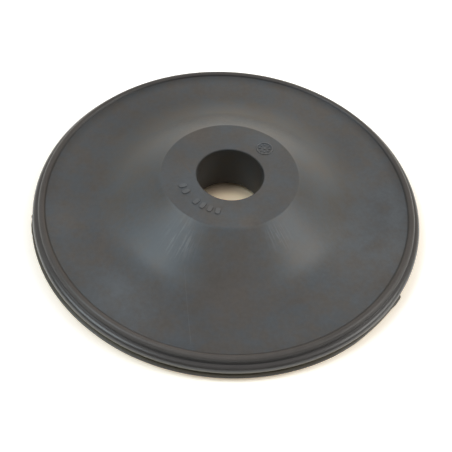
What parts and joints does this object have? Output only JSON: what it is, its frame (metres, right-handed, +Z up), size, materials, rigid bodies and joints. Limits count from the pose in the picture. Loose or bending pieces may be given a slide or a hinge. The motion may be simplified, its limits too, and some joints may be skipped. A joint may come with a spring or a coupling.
{
  "type": "pump diaphragm",
  "caption": "Round moulded rubber diaphragm with a raised bored hub, a flat flexing web and a beaded, ribbed sealing rim, for a piston-diaphragm pump.",
  "frame": {"origin": "centre of the bore, at the level of the foot of the rim", "axes": "+Z up along the bore, from the foot of the rim towards the top of the hub; X and Y are free, as the part is round"},
  "size_m": [0.136, 0.136, 0.0201],
  "materials": {
    "rubber": "semi-matt moulded, slightly mottled"
  },
  "bodies": {
    "root": {"diaphragm": "rubber"}
  },
  "joints": []
}
